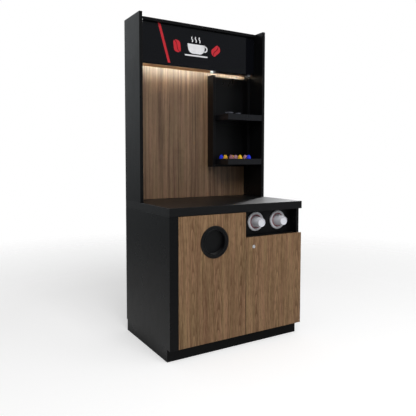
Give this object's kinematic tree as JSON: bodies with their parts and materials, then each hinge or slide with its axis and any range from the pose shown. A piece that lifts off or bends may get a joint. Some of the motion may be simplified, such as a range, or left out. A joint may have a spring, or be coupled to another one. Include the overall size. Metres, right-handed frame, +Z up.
{
  "type": "coffee station",
  "caption": "Free-standing coffee station: walnut-fronted cupboard with waste hatch, lock and cup dispensers under a counter, and a tall back wall with lit header and shelf box.",
  "frame": {"origin": "on the floor, in the middle of the outline's width and depth", "axes": "+X to the right as seen from the front, +Y to the back (the doors face -Y), +Z up"},
  "size_m": [0.985, 0.668, 2.096],
  "materials": {
    "black_laminate": "matt black laminate on board",
    "sign_black": "glossy black sign board",
    "walnut": "satin walnut veneer, grain upright",
    "hinge_steel": "plated steel",
    "lock_nickel": "satin nickel plate",
    "channel_aluminium": "anodised",
    "diffuser_opal": "opal diffuser, lit warm white",
    "black_plastic": "satin black moulding",
    "pale_plastic": "pale grey moulding",
    "white_plastic": "white moulding",
    "red_rubber": "soft red seal",
    "cup_paper": "white paper",
    "bin_grey": "dark grey moulding",
    "dish_stoneware": "pale glaze",
    "foil_blue": "blue lacquered foil",
    "foil_gold": "gold lacquered foil",
    "foil_mauve": "mauve lacquered foil",
    "foil_yellow": "yellow lacquered foil",
    "foil_pink": "pink lacquered foil"
  },
  "bodies": {
    "station": {"countertop": "black_laminate", "base_side_left": "black_laminate", "base_side_right": "black_laminate", "base_bottom": "black_laminate", "base_rear_sheet": "black_laminate", "base_partition": "black_laminate", "niche_floor": "black_laminate", "niche_back": "black_laminate", "plinth_front": "black_laminate", "plinth_left": "black_laminate", "plinth_right": "black_laminate", "hutch_side_left": "black_laminate", "hutch_side_right": "black_laminate", "hutch_roof": "black_laminate", "shelf_box_left": "black_laminate", "shelf_box_right": "black_laminate", "shelf_box_back": "black_laminate", "shelf_upper": "black_laminate", "shelf_lower": "black_laminate", "header_fascia": "sign_black", "hutch_wall_panel": "walnut", "header_soffit": "walnut", "hinge_arm_left_bottom": "hinge_steel", "hinge_arm_left_top": "hinge_steel", "hinge_arm_right_bottom": "hinge_steel", "hinge_arm_right_top": "hinge_steel", "led_channel": "channel_aluminium", "led_diffuser": "diffuser_opal", "light_bar": "black_plastic", "dispenser_tube_left": "black_plastic", "dispenser_tube_right": "black_plastic", "dispenser_flange_left": "pale_plastic", "dispenser_flange_right": "pale_plastic", "light_bar_end_left": "white_plastic", "light_bar_end_right": "white_plastic", "dispenser_gasket_left": "red_rubber", "dispenser_gasket_right": "red_rubber", "waste_bin": "bin_grey", "dish_large": "dish_stoneware", "dish_small": "dish_stoneware", "capsule_blue_left": "foil_blue", "capsule_blue_right": "foil_blue", "capsule_gold": "foil_gold", "capsule_mauve": "foil_mauve", "capsule_yellow": "foil_yellow", "capsule_pink": "foil_pink"},
    "left_door": {"door_left": "walnut", "hinge_cup_left_bottom": "hinge_steel", "hinge_cup_left_top": "hinge_steel", "waste_bezel": "black_plastic", "waste_flap_pin": "hinge_steel"},
    "right_door": {"door_right": "walnut", "hinge_cup_right_bottom": "hinge_steel", "hinge_cup_right_top": "hinge_steel", "lock_housing": "lock_nickel"},
    "waste_flap": {"waste_flap": "black_plastic"},
    "lock": {"lock_plug": "lock_nickel", "lock_cam": "lock_nickel"},
    "cup_left": {"cup_left": "cup_paper"},
    "cup_right": {"cup_right": "cup_paper"}
  },
  "joints": [
    {"name": "left_door_hinge", "type": "hinge", "parent": "station", "child": "left_door", "pos_m": [-0.4365, -0.326, 0.464], "axis": [0, 0, -1], "range_deg": [0, 100]},
    {"name": "right_door_hinge", "type": "hinge", "parent": "station", "child": "right_door", "pos_m": [0.489, -0.326, 0.385], "axis": [0, 0, 1], "range_deg": [0, 100]},
    {"name": "waste_flap_hinge", "type": "hinge", "parent": "left_door", "child": "waste_flap", "pos_m": [-0.193, -0.293, 0.771], "axis": [1, 0, 0], "range_deg": [0, 70]},
    {"name": "lock_turn", "type": "hinge", "parent": "right_door", "child": "lock", "pos_m": [0.0955, -0.326, 0.631], "axis": [0, 1, 0], "range_deg": [0, 90]},
    {"name": "cup_left_pull", "type": "slide", "parent": "station", "child": "cup_left", "axis": [0, -1, 0], "range_m": [0, 0.11]},
    {"name": "cup_right_pull", "type": "slide", "parent": "station", "child": "cup_right", "axis": [0, -1, 0], "range_m": [0, 0.11]}
  ]
}
